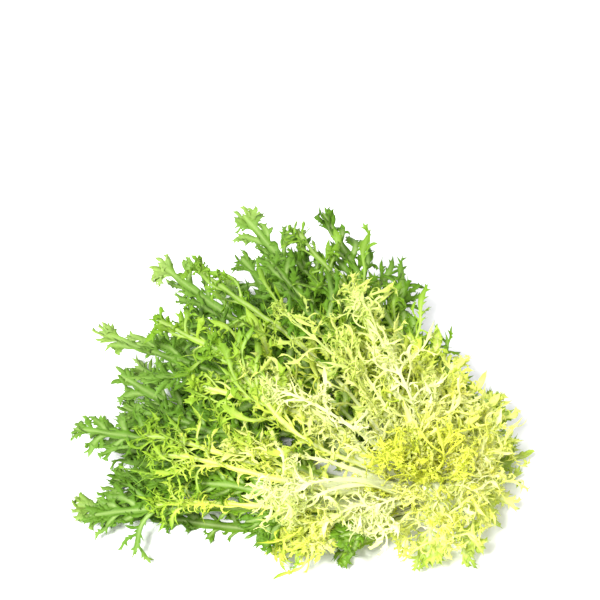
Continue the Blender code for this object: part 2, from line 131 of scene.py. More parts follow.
WHORLS = (
    Whorl(
        "outer_leaf", "green", 4 * MM, (58, 82, 104, 117, 128, 139, 150, 161, 171), (1, 1), (-7, -5, -2),
    ),
    Whorl("under_leaf", "green", 5 * MM, (203, -95, -50, -8, 27), (1, 0), (22, 12, -50)),
    Whorl("back_leaf", "green", 10.5 * MM, (70, 95, 114, 127, 141, 154, 168, 181), (1, 1), (16, 14, 6)),
    Whorl("side_leaf", "lime", 13 * MM, (240, -72, -30, 8, 42), (0.95, 0.95), (42, 30, -45)),
    Whorl(
        "middle_leaf", "lime", 16 * MM, (62, 88, 107, 122, 140, 154, 169, 184, 200), (0.92, 0.86),
        (22, 20, 6),
    ),
    Whorl(
        "upper_leaf", "yellow", 21 * MM, (75, 100, 118, 136, 154, 172, 190, 209), (0.78, 0.60),
        (32, 30, 4),
    ),
    Whorl("near_leaf", "yellow", 20 * MM, (238, -78, -34, 10, 46), (0.85, 0.85), (58, 45, -30)),
    Whorl("inner_leaf", "yellow", 25 * MM, (-85, -30, 20, 75, 115, 158, 212), (0.8, 0.5), (55, 42, -12)),
)
JITTER = 2
MOST_ROLL = 20
MOST_SWAY = 13
STEPS = 60
LIFTS = range(-6, 15, 2)
SWINGS = range(-12, 13, 2)
RISES = (0, 1.5 * MM, -1.5 * MM, 3 * MM, -3 * MM)
LOBE_BENDS = (0, 20, -20, 40, -40)
HEART_GAP = 1.0 * MM
HEART_SIDES = 10
HEART_PROFILE = profile_in_mm((0, 7), (4, 10), (8.5, 9.5), (12, 7))
HEART_PITCHES = (2, 32, 62)
HEART_REACH = 42 * MM

LONG_LEAF = 200 * MM  # from this length on a leaf has its full width and full lobes
LOBED_LEAF = 150 * MM  # and from this on as many lobes as its cut has
NEAR_REACH = 60 * MM  # what a near leaf reaches at most, and how much further the fan's do
REACH_SPAN = 200 * MM
TRIAL = 100 * MM  # length of a rib that is tried to learn how far such a rib reaches
SAME_PLACE = 0.05 * MM  # two points this near are the same corner

# The photograph's frame, and where the heart is in it.
PHOTO_SIDE = 600
PHOTO_WIDTH = 430 * MM  # what the photograph's width spans at the heart
HEART_PIXEL = (440, 480)
HEART_LEVEL = 50 * MM
CAMERA_PITCH = 50
LENS = 135
SENSOR = 36

WORLD_LIGHT = 1.05
KEY_PLACE = (-0.7, -1.0, 1.8)
KEY_SIZE = 0.5
KEY_POWER = 88
FLOOR_SIDE = 6.0  # from its middle

# A leaf's fine form.
RIB_SPOTS = (1, 0.72, 0.36, 0, -0.36, -0.72, -1)  # points across a rib, from its left edge
BARE_RINGS = 12
STATION_RINGS = 6
TIP_RINGS = 5
LOBE_GAP = 0.9 * MM  # clear of the solids of other leaves
EDGE_HALF = 0.15 * MM  # half a blade's thickness at its edges
BLADE_HALF = 0.30 * MM  # and at its veins
FLOOR_GAP = 0.1 * MM
LOWEST_SPRIG = 12 * MM  # no sprig grows lower than this
PRESSED_FROM = 0.92  # share of the head's height above which the curls lie flatter
STRAY = 1 * MM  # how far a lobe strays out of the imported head's box before it is drawn in
PRESSED = 0.8  # share of the rest that it is drawn in by
CHANNEL = 0.35  # depth of the channel along a rib, as a share of its half width
WAVE_LENGTH = 24 * MM  # of a blade's waved edges
WAVE = 0.30  # their height as a share of the half width
SLIM = 0.75  # how wide the blade beside the rib is against the source's
RIDGE = 0.17  # height of the ridges along a bare rib, as a share of its half width
COLOUR_SPAN = 260 * MM  # the length over which a lobe would turn from pale to full green
PAINTED_SHADE_START = 2 * MM  # how far below its root a lobe hangs before painted shade turns it greener and darker
PAINTED_SHADE_PER_METRE = 14  # and how much greener it is painted for each metre below that, as shade under the upper lobes
# How far the tip of the longest leaf has turned from pale to full green, by azimuth: of the green
# leaves, and of the paler ones.
GREENEST = {
    "green": (
        (-110, 0.5), (-80, 0.35), (-40, 0.12), (20, 0.12), (50, 0.15), (80, 0.3), (105, 0.4),
        (118, 0.85), (125, 1), (200, 0.9), (222, 0.6), (250, 0.5),
    ),
    "paler": (
        (-110, 0.02), (-65, 0.03), (-30, 0.09), (50, 0.07), (80, 0.13), (95, 0.4), (107, 1.0),
        (125, 1.15), (150, 0.95), (178, 0.85), (190, 0.6), (205, 0.35), (226, 0.2), (250, 0.02),
    ),
}
TINT = 0.07  # how much a leaf's colour may be off from that
LESSER_PAINTED_SHADE = 0.04  # how much greener and darker the lesser leaves are, a painted shade for the gaps that they fill

# How the lobes of each cut are drawn: how long against the source's, their outline and half width,
# a tooth's length and how likely a joint has one, the shoots on a lobe and their share of its
# length, a joint's length, how much a strap wanders in degrees, how likely a joint bears a sprig, a
# sprig's length, and how likely a small lobe stands between two others.
Shape = namedtuple(
    "Shape", "stretch outline half tooth toothed shoots shoot_share joint wander sprigs sprig between"
)
SHAPES = {
    "green": Shape(
        1.3, ((0, 1.2), (0.2, 0.8), (0.55, 1.05), (0.8, 0.8), (1, 0.15)),
        2.4 * MM, 3.6 * MM, 0.34, 4, 0.38, 2.6 * MM, 60, 0, 0, 0.35,
    ),
    "lime": Shape(
        1.9, ((0, 1), (0.15, 0.5), (0.5, 0.7), (0.8, 1.5), (0.92, 1.0), (1, 0.2)),
        1.6 * MM, 2.8 * MM, 0.16, 4, 0.3, 2.5 * MM, 110, 0.01, 8 * MM, 0.4,
    ),
    "yellow": Shape(
        2.1, ((0, 1), (0.2, 0.7), (0.6, 0.8), (0.85, 1.7), (1, 0.4)),
        1.0 * MM, 2.2 * MM, 0.16, 4, 0.32, 2.4 * MM, 140, 0.02, 9 * MM, 0.4,
    ),
    "pale": Shape(
        2.3, ((0, 1), (0.2, 0.8), (0.6, 0.8), (0.85, 1.5), (1, 0.4)),
        0.9 * MM, 2.1 * MM, 0.16, 4, 0.34, 2.5 * MM, 160, 0.02, 10 * MM, 0.35,
    ),
}
HEART_SHAPE = SHAPES["yellow"]._replace(sprigs=0.2, sprig=9 * MM)
FORK_STRETCH = 0.75  # how long a fork is against the source's
OPEN_STRETCH = 1.0  # how long the lobes are where the ribs are broad and open
PALE_WHORLS = ("near_leaf", "inner_leaf")
FINE_WHORLS = ("side_leaf",) + PALE_WHORLS
TIP_LOBE = 10 * MM  # the lobes at a leaf's very tip
SHORT_LOBE = 12 * MM  # a lobe under this length is plain and pointed
# The fan's lesser leaves: whose whorl they grow in, at which azimuths, their share of that whorl's
# length, the most they sway in degrees, how much steeper they rise, the most they roll, and how
# much more their ribs broaden on the side where ribs are broad.
LESSER_LEAVES = (
    (
        "outer_leaf", (70, 92, 109, 121, 133, 144, 150, 155, 161, 167, 173, 179), (0.88, 1.0),
        14, 3, 30, 1.8,
    ),
    ("back_leaf", (82, 102, 117, 132, 147, 161, 168, 174, 181), (0.65, 0.95), 20, 3, 45, 1.8),
    ("back_leaf", (188, 195, 202, 210), (0.7, 0.95), 10, 0, 20, 1.8),
    ("middle_leaf", (75, 97, 114, 130, 146, 161, 176), (0.55, 0.9), 24, 4, 55, 1.8),
    ("middle_leaf", (180, 190, 199, 208), (0.75, 1.0), 14, 0, 30, 1.8),
    ("upper_leaf", (88, 127, 163), (0.6, 0.95), 24, 4, 55, 1.8),
    ("upper_leaf", (190, 197, 204, 210), (0.95, 1.1), 14, -18, 25, 1.8),
    ("near_leaf", (198, 206, 214, 222, 231), (0.95, 1.1), 6, -4, 12, 2.7),
)
LESSER_LIFTS = range(-2, 9, 2)  # what is tried for each of them: how much steeper, in degrees,
LESSER_SWINGS = range(-6, 7, 3)  # and how far round
LESSER_GAP = 2.5 * MM  # a rib this near a packed leaf meets it
HEART_CURLS = 30  # small curls on top of the heart's core, and their length
HEART_CURL = 24 * MM
NEAR_STRAPS = 1.35  # how much longer the heart's straps are on its near side, and its curls
NEAR_CURLS = 1.6
STEM_CUT_RINGS = profile_in_mm((0.5, 2), (0.3, 6), (0.1, 10))  # in the hollow of the cut
SHOOT_RUFFLE = 50
SWEEP = 55  # the most that a strap bends towards the leaf's tip, in degrees


def arc(azimuth, pitch):
    """The unit vector that points along an azimuth, pitch degrees above the horizon."""
    a, p = radians(azimuth), radians(pitch)
    return Vector((cos(a) * cos(p), sin(a) * cos(p), sin(p)))


def mix(a, b, t):
    return a + (b - a) * t


def along(table, x, ease=False):
    """The value at x of a table of (x, value) rows, in runs that are straight or eased."""
    for (x0, v0), (x1, v1) in zip(table, table[1:]):
        if x <= x1:
            t = max(0, (x - x0) / (x1 - x0))
            return mix(v0, v1, t * t * (3 - 2 * t) if ease else t)
    return table[-1][1]


def turned(v, axis, degrees):
    return Quaternion(axis, radians(degrees)) @ v


STEM_AXIS = arc(STEM_LEANS_TOWARDS, 90 - STEM_LEAN)
STEM_SIDE = STEM_AXIS.orthogonal().normalized()
STEM_ACROSS = STEM_AXIS.cross(STEM_SIDE)


def round_stem(angle):
    """The way out from the stem's axis, at an angle round it."""
    return STEM_SIDE * cos(angle) + STEM_ACROSS * sin(angle)


def barrel_points(profile, foot, count):
    """Rings of points round the stem's axis, one ring for each (level, radius)."""
    ways = [round_stem(2 * pi * i / count) for i in range(count)]
    return [foot + STEM_AXIS * level + out * radius for level, radius in profile for out in ways]


def find_foot():
    """The middle of the stem's cut: the rule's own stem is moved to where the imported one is."""
    points = barrel_points(STEM_PROFILE, Vector(), STEM_SIDES)
    low = Vector([min(point[i] for point in points) for i in range(3)])
    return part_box("stem")[0] - low


STEM_FOOT = find_foot()
HEART_FOOT = STEM_FOOT + STEM_AXIS * (STEM_LENGTH + HEART_GAP)


def off_stem(level, azimuth, gap):
    """The point a gap off the stem's side, level up from its cut, that faces an azimuth."""
    radial = arc(azimuth, 0)
    radial = (radial - STEM_AXIS * radial.dot(STEM_AXIS)).normalized()
    return STEM_FOOT + STEM_AXIS * level + radial * (along(STEM_PROFILE, level) + gap)


class Spine:
    """A leaf's rib: a curve whose azimuth and pitch change smoothly from base to tip."""

    def __init__(self, root, base, aim, pitches, length, roll, sway):
        self.points, self.angles, self.roll = [root], [], roll
        for i in range(STEPS):
            t = (i + 0.5) / STEPS
            azimuth = aim + (base - aim) * ((1 - t) ** SWERVE - 1 / (SWERVE + 1))
            azimuth += sway * sin(2 * pi * t)
            pitch = (1 - t) ** 2 * pitches[0] + 2 * t * (1 - t) * pitches[1] + t * t * pitches[2]
            point = self.points[-1] + arc(azimuth, pitch) * (length / STEPS)
            floor = along(RIB_THICKNESS, t) / 2
            if point.z < floor:
                point.z = floor
                pitch = 0
            self.points.append(point)
            self.angles.append((azimuth, pitch))
        self.angles.append(self.angles[-1])

    def at(self, t):
        """(point, direction, up) at share t of the length."""
        x = min(t * STEPS, STEPS - 1e-6)
        i = int(x)
        azimuth, pitch = (mix(a, b, x - i) for a, b in zip(self.angles[i], self.angles[i + 1]))
        direction = arc(azimuth, pitch)
        up = turned(arc(azimuth, pitch + 90), direction, self.roll * t)
        return self.points[i].lerp(self.points[i + 1], x - i), direction, up


Lobe = namedtuple("Lobe", "way angle tilt length curl twist forked")


class Leaf:
    """Where one leaf's rib lies, worked out by the source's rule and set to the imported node."""

    def __init__(self, name, whorl, azimuth, level, rng):
        self.name, self.whorl, self.level, self.rng = name, whorl, level, rng
        self.cut = CUTS[whorl.cut]
        self.aim = azimuth + rng.uniform(-JITTER, JITTER)
        self.broad = along(BROAD_SIDE, self.aim)
        self.roll = rng.uniform(-MOST_ROLL, MOST_ROLL) if whorl.name != "outer_leaf" else 0
        self.sway = rng.uniform(-MOST_SWAY, MOST_SWAY)
        fan_share = min(1, max(0, (along(REACH, self.aim) - NEAR_REACH) / REACH_SPAN))
        self.share = mix(*whorl.shares, fan_share) * rng.uniform(0.95, 1.03)
        self.tint_and_shade = TINT * random.Random(name).uniform(-1, 1)
        self.stand(0, 0, 0)
        self.lobes = max(4, round(self.cut.lobes * min(1, self.length / LOBED_LEAF) ** 0.7))

    def stand(self, lift, swing, rise):
        """Lay the rib: lift degrees steeper, swing degrees further round, rooted rise higher."""
        aim = self.aim + swing
        base = along(BASES, aim)
        tip = along(TIP_LIFT, self.aim) if FAN[0] < self.aim < FAN[1] else 0
        low, middle, high = self.whorl.pitches
        pitches = low + lift, middle + lift + tip / 2, high + lift + tip
        gap = ROOT_GAP * (1 + sin(radians(low)))
        root = off_stem(self.level + rise, base, gap)
        trial = Spine(root, base, aim, pitches, TRIAL, 0, self.sway)
        flat = (trial.points[-1] - root).to_2d().length / TRIAL
        self.length = (along(REACH, aim) * self.share - (root - STEM_FOOT).dot(arc(aim, 0))) / flat
        self.spine = Spine(root, base, aim, pitches, self.length, self.roll, self.sway)

    def stand_as_packed(self, corners):
        """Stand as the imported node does: the tip of its rib is a corner of its mesh."""
        ways = itertools.product(LIFTS, SWINGS, RISES)
        for way in sorted(ways, key=lambda way: abs(way[0]) + abs(way[1]) + abs(way[2]) / MM):
            self.stand(*way)
            if np.linalg.norm(corners - np.array(self.spine.at(1)[0]), axis=1).min() < SAME_PLACE:
                return
        raise ValueError(self.name + " isn't where the rule puts it")

    def settle(self, lift):
        """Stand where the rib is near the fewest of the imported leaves."""
        best = None
        for extra, swing in itertools.product(LESSER_LIFTS, LESSER_SWINGS):
            self.stand(lift + extra, swing, 0)
            places = [self.spine.at(i / 24)[0] for i in range(3, 25)]
            met = sum(NEIGHBOURS.near(self.name, place, LESSER_GAP) for place in places)
            if best is None or (met, abs(extra)) < best[0]:
                best = (met, abs(extra)), (lift + extra, swing, 0)
        self.stand(*best[1])

    def half_width(self, t):
        half = along(self.cut.widths, t, ease=True) * min(1, 0.55 + 0.45 * self.length / LONG_LEAF)
        return half * mix(1, along(BROAD_RIBS, t, ease=True), self.broad)

    def bare(self):
        """Share of the leaf that is bare rib: more on the side where the ribs are broad."""
        return mix(*BARE, self.broad)

    def station(self, number, share=0.0):
        """How far along the leaf a lobe's station is, share of the way to the next."""
        return mix(self.bare(), LOBED_TO, (number + share) / self.lobes)

    def colour_at(self, t):
        """How far a place is from the pale base to the full colour of the leaf's tip."""
        greenest = along(GREENEST["green" if self.whorl.cut == "green" else "paler"], self.aim)
        return min(1, max(0, t * greenest * min(1, self.length / along(REACH, self.aim)) + self.tint_and_shade))

    def lobe_scale(self):
        return min(1, 0.4 + 0.6 * self.length / LONG_LEAF)

    def lobe(self, number, way):
        """The source's lobe at a station on the left, way 1, or the right, way -1."""
        u = (number + 0.5) / self.lobes
        angle = mix(*LOBE_ANGLES, u) + self.rng.uniform(-6, 6)
        tilt = self.cut.ruffle * self.rng.uniform(-1, 1)
        size = along(self.cut.sizes, u) * self.rng.uniform(0.85, 1.1)
        length = self.cut.longest * size * self.lobe_scale()
        curl = self.cut.curl * self.rng.uniform(-0.8, 1.0)
        twist = self.cut.twist * self.rng.uniform(-1, 1)
        return Lobe(way, angle, tilt, length, curl, twist, False)

    def packed_lobes(self):
        """The source's lobe at every station, drawn in the source's own order."""
        fork_at = self.lobes // 2 - self.rng.choice((0, 1)) if self.length > FORKED_FROM else None
        lobes = []
        for number in range(self.lobes):
            for way in (1, -1):
                if way != (1 if number % 2 else -1):
                    self.rng.uniform(0, 1)  # the draw that sizes the source's tooth on this side
                    continue
                lobe = self.lobe(number, way)
                if number == fork_at:
                    lobe = lobe._replace(
                        angle=FORK_ANGLE, tilt=0, length=self.length * FORK_SHARE,
                        curl=self.rng.uniform(-10, 15), forked=True,
                    )
                lobes.append(lobe)
        return lobes

    def opposite_lobe(self, number, lobe, rng):
        """A lobe of the fine leaf's own on the side where the source has only a tooth."""
        u = (number + 0.5) / self.lobes
        length = self.cut.longest * along(self.cut.sizes, u) * self.lobe_scale()
        length *= rng.uniform(0.45, 0.95)
        angle = mix(*LOBE_ANGLES, u) + rng.uniform(-10, 10)
        tilt = self.cut.ruffle * rng.uniform(-1.2, 1.2)
        curl, twist = self.cut.curl * rng.uniform(-0.8, 1.2), self.cut.twist * rng.uniform(-1, 1)
        return Lobe(-lobe.way, angle, tilt, length, curl, twist, False)


# A point of a sheet: its place, the leaf's upper side there, half the thickness, how far the colour
# has turned from base to tip, how much of it is vein, and where it is on the leaf's own grain.
Point = namedtuple("Point", "place up half at vein grain")


class Sheet:
    """A leaf as one layer of faces, with the length and the way of the sprig that a point bears."""

    def __init__(self):
        self.points, self.faces, self.sprigs = [], [], {}

    def point(self, *values):
        self.points.append(Point(*values))
        return len(self.points) - 1

    def bear_sprig(self, i, direction, outward, up, length, rng):
        """Let a point bear a sprig that grows on along the strap and out from its edge."""
        way = direction + outward * rng.uniform(0.3, 1.2) + up * rng.uniform(-0.8, 0.8)
        self.sprigs[i] = length, way.normalized()

    def skin(self, a, b):
        self.faces += zip(a, a[1:], b[1:], b)

    def close_tip(self, ring, tip):
        self.faces += [(i, j, tip) for i, j in zip(ring, ring[1:])]

    def middle(self, ids):
        return sum((self.points[i].place for i in ids), Vector()) / len(ids)

    def solid(self, resting=True):
        """(points, faces, marks) of the leaf's closed skin. A resting one lies above the floor, in
        the head's box. Only the upper points bear sprigs."""
        places, ups, halves, at, vein, grain = (np.array(column) for column in zip(*self.points))
        offset = ups * halves[:, None]
        top, bottom = places + offset, places - offset
        if resting:
            sunk = np.maximum(0, FLOOR_GAP - np.minimum(top[:, 2], bottom[:, 2]))
            low = np.array((cad_box[0][0] - STRAY, cad_box[0][1] - STRAY, -1))
            high = np.array((cad_box[1][0] + STRAY, cad_box[1][1] + STRAY, PRESSED_FROM * cad_box[1][2]))
            drawn = PRESSED * (np.maximum(0, places - high) - np.maximum(0, low - places))
            drawn[:, 2] -= sunk
            top -= drawn
            bottom -= drawn
        count = len(places)
        faces = list(self.faces)
        edges = {}
        for face in self.faces:
            faces.append(tuple(i + count for i in reversed(face)))
            for i, j in zip(face, face[1:] + face[:1]):
                if not edges.pop((j, i), False):
                    edges[i, j] = True
        faces += [(i + count, j + count, j, i) for i, j in edges]
        lengths = np.zeros(2 * count)
        for i, (length, way) in self.sprigs.items():
            ups[i] = way
            if places[i, 2] >= LOWEST_SPRIG or not resting:
                lengths[i] = length
        marks = {"at": at, "vein": vein, "grain": grain, "sprig_way": ups}
        marks = {name: np.concatenate([values, values]) for name, values in marks.items()}
        return np.concatenate([top, bottom]), faces, {**marks, "sprig": lengths}


# A strap is a lobe, a shoot on a lobe, a sprig or a curl of the heart.
Strap = namedtuple(
    "Strap", "length half joints curl twist sweep wander tooth toothed shoots shoot_share"
)


def walk(centre, direction, up, strap, bend, phase):
    """The frames along a strap that curls, twists and sweeps evenly, and wanders."""
    steps = []
    for joint in range(strap.joints):
        across = up.cross(direction).normalized()
        curl = strap.curl + bend + strap.wander * sin(phase + 0.45 * joint)
        sweep = strap.sweep + strap.wander * sin(2 * phase + 0.35 * joint)
        direction = turned(direction, across, -curl / strap.joints)
        up = turned(up, across, -curl / strap.joints)
        up = turned(up, direction, strap.twist / strap.joints)
        direction = turned(direction, up, sweep / strap.joints)
        centre = centre + direction * (strap.length / strap.joints)
        steps.append((centre, direction, up))
    return steps


def grow_strap(sheet, root, steps, strap, shape, at, rng):
    """A toothed strap out of the points of root, which run from its left to its right."""
    before = root
    top = steps[0][0].z - PAINTED_SHADE_START
    spots = (1, 0, -1) if len(root) == 3 else (1, -1)
    shoots = 0
    for joint, (centre, direction, up) in enumerate(steps):
        s = (joint + 1) / strap.joints
        left = up.cross(direction).normalized()
        half = strap.half * along(shape.outline, s, ease=True)
        # Painted shade: a strap turns greener and darker the further it hangs below its root.
        depth = max(0, top - centre.z) * PAINTED_SHADE_PER_METRE
        here = min(1, at + s * strap.length / COLOUR_SPAN + depth)
        ring = []
        for spot in spots:
            place = centre + left * (half * spot) + up * (0.25 * half * abs(spot))
            thick = EDGE_HALF if spot else mix(BLADE_HALF, EDGE_HALF, s)
            vein = 0 if spot else 0.8 * (1 - s)
            grain = Vector((half * spot, strap.length * s, 0))
            ring.append(sheet.point(place, up, thick, here, vein, grain))
        sheet.skin(before, ring)
        for way, end in ((1, 0), (-1, -1)):
            if joint == 0:
                continue
            edge, outward = (before[end], ring[end])[::way], left * way
            due = 2.2 * s * strap.shoots / strap.joints + (joint >= strap.joints - 2)
            if shoots < strap.shoots and rng.random() < due:
                shoots += 1
                grow_shoot(sheet, edge, direction, up, outward, way, strap, shape, here, rng)
            elif rng.random() < strap.toothed:
                size = strap.tooth * rng.uniform(0.4, 1.2)
                grow_tooth(sheet, edge, direction, up, outward, size, rng)
            if rng.random() < shape.sprigs:
                size = shape.sprig * rng.uniform(0.5, 1.3)
                sheet.bear_sprig(ring[end], direction, outward, up, size, rng)
        before = ring
    tip = centre + direction * (strap.length / strap.joints * rng.uniform(0.8, 1.6))
    sheet.close_tip(before, sheet.point(tip, up, EDGE_HALF / 2, here, 0, Vector((0, strap.length, 0))))


def grow_shoot(sheet, edge, direction, up, outward, way, strap, shape, at, rng):
    """A smaller strap on the edge of another."""
    angle = radians(rng.uniform(25, 60))
    tilt = SHOOT_RUFFLE * rng.uniform(-1, 1)
    aim = direction * cos(angle) + turned(outward, direction, tilt) * sin(angle)
    length = strap.length * strap.shoot_share * rng.uniform(0.55, 1.3)
    shoot = Strap(
        length, strap.half * 0.6, max(3, round(length / shape.joint)), strap.curl * rng.uniform(-1, 1.2),
        strap.twist * rng.uniform(-1, 1), -way * SWEEP * rng.uniform(-0.4, 1), strap.wander,
        strap.tooth * 0.7, strap.toothed, 0, 0,
    )
    shoot_up = turned(up, direction, tilt)
    steps = walk(sheet.middle(edge), aim, shoot_up, shoot, 0, rng.uniform(0, 6))
    grow_strap(sheet, edge, steps, shoot, shape, at, rng)


def grow_tooth(sheet, edge, direction, up, outward, size, rng):
    """A pointed tooth on an edge, leaning forward."""
    a, b = edge
    lift = up * (size * rng.uniform(-0.3, 0.3))
    tip = sheet.middle(edge) + outward * size + direction * (size * rng.uniform(0.4, 1.1)) + lift
    at, grain = sheet.points[a].at, sheet.points[a].grain
    sheet.faces.append((a, b, sheet.point(tip, up, EDGE_HALF / 2, at, 0, grain)))


class Neighbours:
    """The faces of every CAD node, to keep a leaf's lobes clear of the other leaves."""

    def __init__(self, nodes):
        points, faces, self.owners = [], [], []
        for name, node in nodes.items():
            first = len(points)
            points += [vertex.co.copy() for vertex in node.data.vertices]
            faces += [[first + i for i in polygon.vertices] for polygon in node.data.polygons]
            self.owners += [name] * len(node.data.polygons)
        self.tree = BVHTree.FromPolygons(points, faces)

    def near(self, own, place, gap=LOBE_GAP):
        return any(self.owners[hit[2]] != own for hit in self.tree.find_nearest_range(place, gap))

    def clear_walk(self, own, centre, direction, up, strap, phase):
        """The strap's frames with the smallest bend that takes it past the other leaves."""
        for bend in LOBE_BENDS:
            steps = walk(centre, direction, up, strap, bend, phase)
            if not any(self.near(own, step[0]) for step in steps[1:]):
                return steps
        return walk(centre, direction, up, strap, 0, phase)


NEIGHBOURS = Neighbours(frame["nodes"])


def rib_ring(sheet, leaf, t, phase):
    """The points across a leaf's rib and blade, with ridges on the bare rib and waved edges."""
    centre, direction, up = leaf.spine.at(t)
    left = up.cross(direction).normalized()
    half = leaf.half_width(t) * mix(1, SLIM, min(1, 2 * t)) * min(1, 0.4 + 12 * t)
    thick = along(RIB_THICKNESS, t) / 2
    channel = CHANNEL * half * mix(1, 0.4, t)
    past_bare = min(1, max(0, (t - leaf.bare()) / 0.15))
    ridge = RIDGE * half * (1 - past_bare) * min(1, 8 * t)
    ring = []
    for number, spot in enumerate(RIB_SPOTS):
        turn = 2 * pi * leaf.length * t / WAVE_LENGTH + phase + (1.7 if spot > 0 else 0)
        lift = channel * (spot * spot - 0.4) + ridge * (-1) ** number
        lift += WAVE * half * past_bare * spot * spot * sin(turn)
        vein = 1 if t < leaf.bare() else max(0, 1 - max(0, abs(spot) * half - 0.5 * MM) / (1.2 * MM))
        grain = Vector((half * spot, leaf.length * t, 0))
        ring.append(sheet.point(
            centre + left * (half * spot) + up * lift, up, mix(thick, EDGE_HALF * 1.4, spot * spot),
            leaf.colour_at(t), vein * mix(1, 0.55, t), grain,
        ))
    return ring


def grow_leaf(leaf):
    """The whole leaf as one sheet."""
    sheet = Sheet()
    rng = random.Random(leaf.name)
    lobes = leaf.packed_lobes()
    bare = leaf.bare()
    ts = [bare * i / BARE_RINGS for i in range(BARE_RINGS)]
    ts += [leaf.station(0, i / STATION_RINGS) for i in range(STATION_RINGS * leaf.lobes)]
    ts += [mix(LOBED_TO, 1, i / TIP_RINGS) for i in range(TIP_RINGS)]
    phase = rng.uniform(0, 6)
    rings = [rib_ring(sheet, leaf, t, phase) for t in ts]
    for a, b in zip(rings, rings[1:]):
        sheet.skin(a, b)
    centre, direction, up = leaf.spine.at(1)
    sheet.close_tip(rings[-1], sheet.point(centre, up, EDGE_HALF, leaf.colour_at(1), 0, Vector()))
    shape = SHAPES[leaf.whorl.cut]
    if leaf.whorl.name in FINE_WHORLS:
        shape = SHAPES["pale"]
    elif leaf.whorl.cut == "lime" and leaf.broad > 0.8:
        shape = SHAPES["yellow"]
    for number, lobe in enumerate(lobes):
        first = BARE_RINGS + STATION_RINGS * number
        for planned in (lobe, leaf.opposite_lobe(number, lobe, rng)):
            edge = 0 if planned.way > 0 else -1
            side = [ring[edge] for ring in rings[first + 1:first + STATION_RINGS]]
            grow_lobe(sheet, leaf, side[:3], ts[first + 2], planned, shape, rng)
            small = planned._replace(
                length=planned.length * rng.uniform(0.3, 0.6), forked=False,
                angle=planned.angle + rng.uniform(-15, 15), tilt=-planned.tilt,
            )
            if rng.random() < shape.between and not planned.forked:
                grow_lobe(sheet, leaf, side[3:], ts[first + 4], small, shape, rng)
    for number, t in enumerate(ts[1 - TIP_RINGS:]):
        a, b = rings[number - TIP_RINGS], rings[number + 1 - TIP_RINGS]
        for way, edge in ((1, [a[0], b[0]]), (-1, [a[-1], b[-1]])):
            length = TIP_LOBE * leaf.lobe_scale() * (1 - 0.12 * number) * rng.uniform(0.7, 1.2)
            lobe = Lobe(way, rng.uniform(25, 50), 0, length, rng.uniform(-20, 30), 0, False)
            grow_lobe(sheet, leaf, edge, t, lobe, shape, rng)
    return sheet


def grow_lobe(sheet, leaf, root, t, lobe, shape, rng):
    """A lobe as a strap out of the points of root, at share t of the leaf's length."""
    _, direction, up = leaf.spine.at(t)
    left = up.cross(direction).normalized()
    angle = radians(lobe.angle)
    outward = turned(left * lobe.way, direction, lobe.tilt)
    aim = direction * cos(angle) + outward * sin(angle)
    lobe_up = direction.cross(outward).normalized() * lobe.way
    if lobe.way < 0:
        root = root[::-1]
    length = lobe.length
    if lobe.forked:
        length *= FORK_STRETCH
    elif t < OPEN_TO:
        length *= mix(shape.stretch, OPEN_STRETCH, min(1, leaf.broad))
        length *= along(OPEN_SIDE, leaf.aim)
    else:
        length *= shape.stretch
    joints = max(3, round(length / shape.joint))
    half = shape.half * min(1, 0.5 + length / (40 * MM)) * rng.uniform(0.7, 1.25)
    strap = Strap(
        length, half, joints, lobe.curl, lobe.twist, -lobe.way * SWEEP * rng.uniform(-0.3, 1),
        shape.wander * min(1, length / (20 * MM)), shape.tooth, shape.toothed, shape.shoots,
        shape.shoot_share,
    )
    if length < SHORT_LOBE:
        strap = strap._replace(shoots=0, toothed=0.15)
    if lobe.forked:
        strap = strap._replace(half=strap.half * 1.2, shoots=joints, shoot_share=0.2, sweep=0)
    at = min(1, max(0, leaf.colour_at(t) + rng.uniform(-0.04, 0.04)))
    middle, phase = sheet.middle(root), rng.uniform(0, 6)
    steps = NEIGHBOURS.clear_walk(leaf.name, middle, aim, lobe_up, strap, phase)
    grow_strap(sheet, root, steps, strap, shape, at, rng)


def make_mesh(name, parts):
    """One mesh out of closed parts, with their marks."""
    points = np.concatenate([part[0] for part in parts])
    faces, first = [], 0
    for part_points, part_faces, _ in parts:
        faces += [tuple(i + first for i in face) for face in part_faces]
        first += len(part_points)
    mesh = bpy.data.meshes.new(name)
    mesh.from_pydata(points.tolist(), [], faces)
    for mark in parts[0][2]:
        values = np.concatenate([part[2][mark] for part in parts]).astype(np.float32)
        kind, field = ("FLOAT_VECTOR", "vector") if values.ndim == 2 else ("FLOAT", "value")
        mesh.attributes.new(mark, kind, "POINT").data.foreach_set(field, values.ravel())
    mesh.shade_smooth()
    return mesh


def add_object(name, data):
    thing = bpy.data.objects.new(name, data)
    bpy.context.scene.collection.objects.link(thing)
    return thing


# A strap of the heart. The sprigs are straps too, drawn 1 long and scaled to each place: straight
# ones with teeth like a comb's for the fan, and frizzed ones for the pale leaves and the heart.
SPRIG_COUNT = 6
SPRIG_HALF = 0.016  # half a sprig's thickness
SPRIG_FOOT = -0.05  # how far back it is rooted
SPRIG_SHAPE = SHAPES["yellow"]._replace(joint=0.16, sprigs=0)
HEART_STRAP = Strap(0, 1.2 * MM, 18, 0, 0, 0, 40, 1.8 * MM, 0.25, 9, 0.35)
COMB = Strap(1.0, 0.065, 5, 45, 40, 0, 90, 0.20, 0.4, 2, 0.4)
FRIZZ = Strap(1.0, 0.055, 6, 110, 70, 0, 160, 0.16, 0.3, 2, 0.5)


